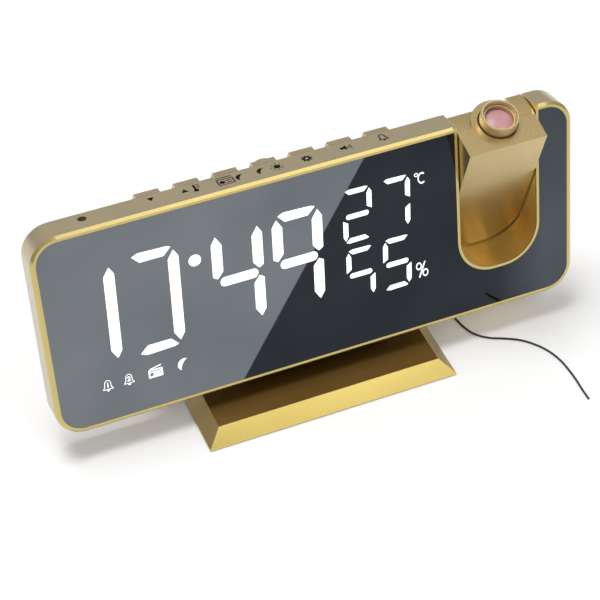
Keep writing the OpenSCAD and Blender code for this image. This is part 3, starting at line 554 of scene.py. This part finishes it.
def flat_disc(radius, corners=24, at=(0, 0), squeeze=(1, 1), hole=0.0):
    """A flat disc or ring in millimetres, left in edit mode."""
    piece = start_flat(bpy.ops.mesh.primitive_circle_add, vertices=corners, radius=radius * MM,
                       fill_type="NGON")
    if hole:
        bpy.ops.mesh.inset(thickness=(radius - hole) * MM)
        bpy.ops.mesh.delete(type="FACE")
        bpy.ops.mesh.select_all(action="SELECT")
    bpy.ops.transform.resize(value=(squeeze[0], squeeze[1], 1))
    bpy.ops.transform.translate(value=(at[0] * MM, at[1] * MM, 0))
    return piece


def flat_box(wide, high, at=(0, 0), corner=0.0):
    """A flat block in millimetres, left in edit mode."""
    piece = start_flat(bpy.ops.mesh.primitive_plane_add, size=1)
    bpy.ops.transform.resize(value=(wide * MM, high * MM, 1))
    bpy.ops.transform.translate(value=(at[0] * MM, at[1] * MM, 0))
    if corner:
        bpy.ops.mesh.bevel(offset=corner * MM, segments=4, affect="VERTICES")
        bpy.ops.mesh.select_all(action="SELECT")
    return piece


def plate(thick, add, *how, **more):
    """A flat drawing, made a thin plate."""
    piece = add(*how, **more)
    thicken(thick)
    return piece


def lit_number(number, high, at):
    """A plain number as a thin plate, centred on `at`."""
    bpy.ops.object.select_all(action="DESELECT")
    bpy.ops.object.text_add()
    piece = bpy.context.object
    piece.data.body = number
    piece.data.size = high * MM
    piece.data.extrude = GLOW_THICK / 2
    piece.data.offset = 0.035 * high * MM
    piece.data.align_x = piece.data.align_y = "CENTER"
    bpy.ops.object.convert(target="MESH")
    piece.data.transform(Matrix.Translation((at[0] * MM, at[1] * MM, GLOW_THICK / 2)))
    return piece


def bell_outline(rim, thick):
    """An outlined bell, 3.5 mm wide and 4.3 mm high, with an open middle and a clapper under it."""
    painted_reflection_split = [(0.35, 2.1), (0.95, 1.6), (1.15, 0.9), (1.2, -0.4), (1.75, -1.2), (1.75, -1.5)]
    corners = [Vector(spot) * MM for spot in painted_reflection_split + [(-x, y) for x, y in reversed(painted_reflection_split)]]
    dome = drawn(corners, 0.12 * MM, rim * MM, thick)
    return joined([dome, plate(thick, flat_disc, 0.5, 16, (0, -1.85), (1, 0.6))])


light_up("colon_dot", (-41.4, 51.9), [plate(GLOW_THICK, flat_disc, 2.1, 32)])
bell = bell_outline(0.22, GLOW_THICK)
for name, number, right in (("alarm_one", "1", -75.25), ("alarm_two", "2", -68.1)):
    light_up(name, (right, SIGN_ROW), [copy_of(bell), lit_number(number, 2.4, (0, 0.15))])
bpy.data.objects.remove(bell)
radio_body = plate(GLOW_THICK, flat_box, 4.9, 3.2, (0, -0.5), 0.3)
gaps = [plate(GLOW_THICK, flat_disc, 0.66, 20, (-1.35, -0.75))]
for wide, high, spot in ((3.9, 0.4, (0, 0.45)), (0.5, 0.4, (1.5, -0.45)), (0.5, 0.4, (1.5, -1.15))):
    gaps.append(plate(GLOW_THICK, flat_box, wide, high, spot))
gap_piece = joined(gaps)
gap_piece.data.transform(Matrix.Translation((0, 0, -GLOW_THICK)) @ Matrix.Diagonal((1, 1, 3, 1)))
opened = radio_body.modifiers.new("gaps", "BOOLEAN")
opened.operation = "DIFFERENCE"
opened.object = gap_piece
bpy.ops.object.select_all(action="DESELECT")
bpy.context.view_layer.objects.active = radio_body
bpy.ops.object.modifier_apply(modifier="gaps")
bpy.data.objects.remove(gap_piece)
aerial = plate(GLOW_THICK, flat_box, 4.0, 0.36)
aerial.data.transform(Matrix.Translation((0.1 * MM, 1.75 * MM, 0)) @ Matrix.Rotation(0.22, 4, "Z"))
light_up("radio_sign", (-59, SIGN_ROW), [radio_body, aerial])


def crescent(radius, at, thick):
    """A moon: a disc whose right half is turned in on its left one."""
    piece = flat_disc(radius, 32)
    pick(piece, lambda co: co.x > 0.01 * MM)
    bpy.ops.transform.resize(value=(-0.3, 1, 1), center_override=(0, 0, 0))
    bpy.ops.mesh.select_all(action="SELECT")
    bpy.ops.transform.translate(value=(at[0] * MM, at[1] * MM, 0))
    thicken(thick)
    return piece


MOON_TURN = -0.5
light_up("sleep_sign", (-49.6, SIGN_ROW - 0.2), [crescent(2.3, (0.6, 0), GLOW_THICK)], MOON_TURN)


def lit_ring(radius, hole, at, squeeze=(1, 1), gap=0.0):
    """A ring; with a gap it is open to the right for that share of its radius up and down."""
    piece = flat_disc(radius, 28, hole=hole)
    if gap:
        pick(piece, lambda co: co.x > 0.3 * radius * MM and abs(co.y) < gap * radius * MM)
        bpy.ops.mesh.delete(type="VERT")
    bpy.ops.mesh.select_all(action="SELECT")
    bpy.ops.transform.resize(value=(*squeeze, 1))
    bpy.ops.transform.translate(value=(at[0] * MM, at[1] * MM, 0))
    thicken(GLOW_THICK)
    return piece


celsius = [lit_ring(0.72, 0.42, (-1.5, 1.5)), lit_ring(1.75, 1.28, (0.5, -0.1), (0.85, 1.22), 0.5)]
light_up("degree_sign", (37.75, 58.75), celsius)
stroke = plate(GLOW_THICK, flat_box, 0.5, 6.3)
stroke.data.transform(Matrix.Rotation(-0.36, 4, "Z"))
percent = [stroke] + [lit_ring(1.3, 0.85, spot, (0.82, 1.15)) for spot in ((-1.15, 1.5), (1.15, -1.5))]
light_up("percent_sign", (36.85, 23.9), percent)

# ---------- display unit ----------
# Behind the mirror: a milky film, a black reflector with a cell for every segment, and a green
# board with a small white lamp in each cell. Four screws hold them together.
BOARD_EDGE = 0.02 * MM
dress(mottled("milky_film", (0.72, 0.73, 0.72), (0.84, 0.85, 0.84), 120, 0.55, 0.01 * MM),
      "diffuser_film")
dress(mottled("reflector_black", (0.012, 0.012, 0.013), (0.03, 0.03, 0.032), 500, 0.5, 0.02 * MM),
      "display_reflector")
dress(mottled("lamp_white", (0.72, 0.66, 0.45), (0.86, 0.82, 0.66), 900, 0.35, 0.01 * MM),
      "display_leds")


def solder_mask(name, tracks_across, board_depths=None):
    """Green board with copper tracks under its mask. Where the board's own depths behind the case's
    face are given, in millimetres, what lies before or behind them is black parts."""
    material = new_finish(name, 0.0, 0.3, coat=0.4, coat_roughness=0.2)
    place = case_place(material)
    tracks = material.node_tree.nodes.new("ShaderNodeTexVoronoi")
    tracks.feature = "DISTANCE_TO_EDGE"
    tracks.inputs["Scale"].default_value = tracks_across
    material.node_tree.links.new(place, tracks.inputs["Vector"])
    lines = ranged(material, tracks.outputs["Distance"], 0.03, 0.07, 1, 0)
    board = blended(material, lines, (0.012, 0.11, 0.045), (0.05, 0.24, 0.09))
    if board_depths:
        depth = along(material, place, "Y")
        front, back = [MM * part for part in board_depths]
        before = ranged(material, depth, front - BOARD_EDGE, front, 1, 0)
        behind = ranged(material, depth, back, back + BOARD_EDGE, 0, 1)
        off_board = calculated(material, "MAXIMUM", before, behind)
        board = blended(material, off_board, board, (0.02, 0.02, 0.022))
    feed(material, "Base Color", board)
    ripple(material, lines, 0.03 * MM)
    return material


dress(solder_mask("display_board_mask", 260), "display_board")

# ---------- rear cover and what it carries ----------
# A plastic lid with a drafted bulge, moulded in the same champagne with a fine spark texture,
# held by five screws. It carries the main board, the speaker, the sockets, the arm's well and
# the coin cell with its door, and the keys' board sits against its flange.
cover_skin = champagne("champagne_grained", (0.50, 0.40, 0.24), (0.57, 0.46, 0.29), 0.42, 0.6,
                       peel=(1500, 3.0, 0.03 * MM))
dress(cover_skin, "rear_cover", "battery_door")
dress(champagne("golden_well", (0.91, 0.70, 0.27), (0.96, 0.75, 0.31), 0.32), "arm_well")
dress(solder_mask("main_board_mask", 300, (10.8, 12.4)), "main_board")
dress(solder_mask("key_board_mask", 300), "key_board")
dress(mottled("switch_grey", (0.10, 0.10, 0.11), (0.18, 0.18, 0.19), 800, 0.45, 0.01 * MM),
      "tact_switches")
dress(mottled("sensor_bead", (0.022, 0.018, 0.012), (0.05, 0.042, 0.03), 1500, 0.5, 0.02 * MM),
      "climate_sensor")
dress(mottled("speaker_black", (0.015, 0.015, 0.016), (0.05, 0.05, 0.052), 500, 0.55, 0.04 * MM),
      "speaker")
dress(mottled("foam_black", (0.01, 0.01, 0.01), (0.045, 0.045, 0.045), 2500, 0.9, 0.1 * MM),
      "speaker_ring")
dress(mottled("socket_black", (0.012, 0.012, 0.012), (0.03, 0.03, 0.03), 600, 0.38, 0.01 * MM),
      "dc_jack")
dress(mottled("socket_plate", (0.60, 0.60, 0.60), (0.76, 0.76, 0.75), 1500, 0.22, 0.01 * MM,
              metallic=1.0), "usb_socket")
dress(mottled("cell_steel", (0.55, 0.55, 0.54), (0.70, 0.70, 0.69), 700, 0.3, 0.01 * MM,
              metallic=1.0, stretch=(1, 8, 1)), "coin_cell")
dress(mottled("contact_brass", (0.62, 0.44, 0.18), (0.76, 0.58, 0.28), 900, 0.3, 0.01 * MM,
              metallic=1.0), "cell_contacts")

# ---------- keys ----------
# Seven keys of one width behind the top edge, the middle one with a round nub, moulded in the
# case's plastic and sprayed with it. Each has its signs printed in black on the case before it.
CASE_HIGH = 73.6 * MM
INK_THICK = 0.02 * MM
INK_SUNK = 0.005 * MM
key_paint = champagne("champagne_keys", (0.55, 0.43, 0.25), (0.61, 0.49, 0.30), 0.32)
dress(key_paint, "key_down", "key_up", "key_radio", "key_snooze", "key_set", "key_volume", "key_alarm")
ink = mottled("black_print", (0.004, 0.004, 0.004), (0.012, 0.011, 0.010), 2200, 0.8, 0.004 * MM,
              specular=0.1)


def on_top(at, turned=0.0):
    """From a flat drawing to the case's top, at (across, depth) in millimetres."""
    lay = Matrix(((1, 0, 0), (0, cos(LEAN), sin(LEAN)), (0, -sin(LEAN), cos(LEAN)))).to_4x4()
    out = Matrix.Translation((at[0] * MM, at[1] * MM, CASE_HIGH - INK_SUNK))
    return Matrix.Translation(CASE_PLACE) @ lay @ out @ Matrix.Rotation(turned, 4, "Z")


def print_sign(name, at, parts, turned=0.0):
    """Joins the parts of a printed sign and settles it on the case's top."""
    settle(joined(parts), name, on_top(at, turned), ink)


def ink_shape(add, *how, **more):
    """A flat drawing, made a thin plate of ink."""
    return plate(INK_THICK, add, *how, **more)


print_sign("print_down", (-51.1, 6.4), [ink_shape(flat_disc, 1.45, 3, squeeze=(0.95, -1))])
print_sign("print_up", (-40.1, 6.1), [ink_shape(flat_disc, 1.4, 3, squeeze=(0.95, 1))])
stem = ink_shape(flat_box, 0.75, 3.4, (0, 0.6), 0.3)
bulb = ink_shape(flat_disc, 0.85, 20, (0, -1.4))
marks = [ink_shape(flat_box, 0.95, 0.34, (1.25, level)) for level in (0.2, 1.1, 2.0)]
print_sign("print_warmth", (-36.6, 6.3), [stem, bulb] + marks)
radio_corners = [Vector(spot) * MM for spot in ((-2.8, -2.1), (2.8, -2.1), (2.8, 1.7), (-2.8, 1.7))]
radio_print = [
    ink_shape(flat_box, 5.0, 0.42, (0, 2.6)), ink_shape(flat_disc, 0.95, 16, (-1.2, -0.3)),
    ink_shape(flat_box, 1.9, 0.45, (1.05, 0.35)), ink_shape(flat_box, 1.9, 0.45, (1.05, -0.85)),
    drawn(radio_corners, 0.3 * MM, 0.4 * MM, INK_THICK)]
print_sign("print_radio", (-26.6, 5.6), radio_print)
sleep_moon = crescent(1.9, (0.4, 0), INK_THICK)
doze_moon = copy_of(sleep_moon)
print_sign("print_sleep", (-21.6, 5.7), [sleep_moon], MOON_TURN)
print_sign("print_doze", (-14.4, 5.9), [doze_moon], MOON_TURN)
disc = ink_shape(flat_disc, 1.15, 20)
ray = ink_shape(flat_box, 0.7, 0.32, (1.9, 0))
rays = [copy_of(ray, turn * pi / 4) for turn in range(1, 8)]
print_sign("print_light", (-9.0, 5.9), [disc, ray] + rays)
rim = ink_shape(flat_disc, 1.35, 24, hole=0.6)
tooth = ink_shape(flat_box, 0.65, 0.62, (1.55, 0))
teeth = [copy_of(tooth, turn * pi / 4) for turn in range(1, 8)]
print_sign("print_set", (1.2, 5.9), [rim, tooth] + teeth)
horn = flat_box(1.1, 1.3, (-0.95, 0))
pick(horn, lambda co: co.x > -0.9 * MM)
bpy.ops.mesh.extrude_region_move(TRANSFORM_OT_translate={"value": (1.1 * MM, 0, 0)})
bpy.ops.transform.resize(value=(1, 2.4, 1), center_override=(0, 0, 0))
thicken(INK_THICK)
waves = [ink_shape(flat_box, 0.36, high, (x, 0)) for x, high in ((1.35, 1.4), (2.2, 2.7))]
print_sign("print_volume", (14.4, 6.1), [horn] + waves)
print_sign("print_alarm", (27.9, 6.2), [bell_outline(0.42, INK_THICK)])

# ---------- projector arm ----------
# Two mouldings screwed together, the flap with its upper box and the round rear housing, in a
# warmer champagne. They turn on steel pins in white bushes, against thin washers, and close
# round a black tube with a red lamp on its board, a clear lens and a dark glass slide.
dress(champagne("champagne_arm", (0.56, 0.425, 0.185), (0.63, 0.485, 0.23), 0.26),
      "arm_front", "arm_rear")
dress(mottled("washer_black", (0.012, 0.012, 0.012), (0.028, 0.028, 0.028), 900, 0.5, 0.01 * MM),
      "friction_washers")
dress(mottled("bush_white", (0.70, 0.70, 0.67), (0.80, 0.80, 0.77), 900, 0.42, 0.01 * MM),
      "pivot_bushes")
dress(mottled("tube_black", (0.008, 0.008, 0.008), (0.02, 0.02, 0.021), 900, 0.6, 0.01 * MM),
      "optics_tube", "lamp_spacer")
dress(solder_mask("lamp_board_mask", 500), "lamp_board")
dress(mottled("lamp_red", (0.55, 0.01, 0.01), (0.75, 0.03, 0.02), 900, 0.2, 0.005 * MM), "lamp_led")
clear_acrylic = mottled("clear_acrylic", (0.86, 0.93, 0.93), (0.95, 0.98, 0.98), 300, 0.04, 0.002 * MM)
clear_acrylic.node_tree.nodes["Principled BSDF"].inputs["Transmission Weight"].default_value = 0.9
dress(clear_acrylic, "condenser_lens")
dress(mottled("slide_glass", (0.010, 0.014, 0.015), (0.025, 0.032, 0.034), 700, 0.12, 0.002 * MM),
      "lcd_slide")

# ---------- focus ring and lens ----------
# A ring that is turned to focus, sprayed in a paler champagne, round a barrel of its colour.
# The barrel carries a lens with a rosy coating, and slides in the arm's tube.
dress(champagne("champagne_ring", (0.64, 0.50, 0.27), (0.71, 0.56, 0.31), 0.42),
      "focus_ring", "lens_barrel")
rosy_glass = new_finish("rosy_lens", 0.0, 0.3, specular=0.3)
rosy_drift = speckle(rosy_glass, place_on(rosy_glass), 160)
rosy_tone = two_tone(rosy_glass, rosy_drift, (0.46, 0.235, 0.24), (0.60, 0.35, 0.355))
feed(rosy_glass, "Base Color", rosy_tone)
feed(rosy_glass, "Roughness", drifting(rosy_glass, rosy_drift, 0.26, 0.34))
dress(rosy_glass, "projector_lens")

# ---------- table, lamps and room ----------
# A plain white table, a pale room that is dimmer low down and in front, a round soft lamp
# overhead for the shadow under the clock, and a weak one in front for the cut edges.
ROOM_TONES = ((0.0, 0.37), (0.30, 0.46), (0.60, 0.54), (1.0, 0.67))
FRONT_STRENGTH = 0.72
table_finish = new_finish("white_table", 0.0, 0.6, specular=0.2)
table_drift = speckle(table_finish, place_on(table_finish), 3)
table_tone = two_tone(table_finish, table_drift, (0.93, 0.93, 0.935), (0.95, 0.95, 0.95))
feed(table_finish, "Base Color", table_tone)
bpy.ops.object.select_all(action="DESELECT")
bpy.ops.mesh.primitive_plane_add(size=12)
table = bpy.context.object
table.name = "table"
table.data.materials.append(table_finish)

room = bpy.data.worlds.new("room")
bpy.context.scene.world = room
room.use_nodes = True
room_light = room.node_tree.nodes["Background"]
room_way = room.node_tree.nodes.new("ShaderNodeTexCoord").outputs["Generated"]
room_greys = [(position, (level, level, level)) for position, level in ROOM_TONES]
room_tone = graded(room, along(room, room_way, "Z"), room_greys)
room_strength = ranged(room, along(room, room_way, "Y"), -0.6, 0.1, FRONT_STRENGTH, 1.0)
room.node_tree.links.new(room_tone, room_light.inputs["Color"])
room.node_tree.links.new(room_strength, room_light.inputs["Strength"])


def round_lamp(name, way, distance, radius, power):
    """A round soft lamp, seen from the clock in that direction and turned towards it."""
    lamp = bpy.data.lights.new(name, "AREA")
    lamp.shape = "DISK"
    lamp.size = 2 * radius
    lamp.energy = power
    stand = bpy.data.objects.new(name, lamp)
    stand.location = Vector(way).normalized() * distance
    stand.rotation_euler = (-stand.location).to_track_quat("-Z", "Y").to_euler()
    bpy.context.scene.collection.objects.link(stand)


round_lamp("lamp_above", way=(-0.16, 0.16, 0.95), distance=1.5, radius=0.34, power=13.6)
round_lamp("lamp_front", way=(0.289, -0.5, 0.8), distance=1.2, radius=0.33, power=1.4)

bpy.context.view_layer.update()
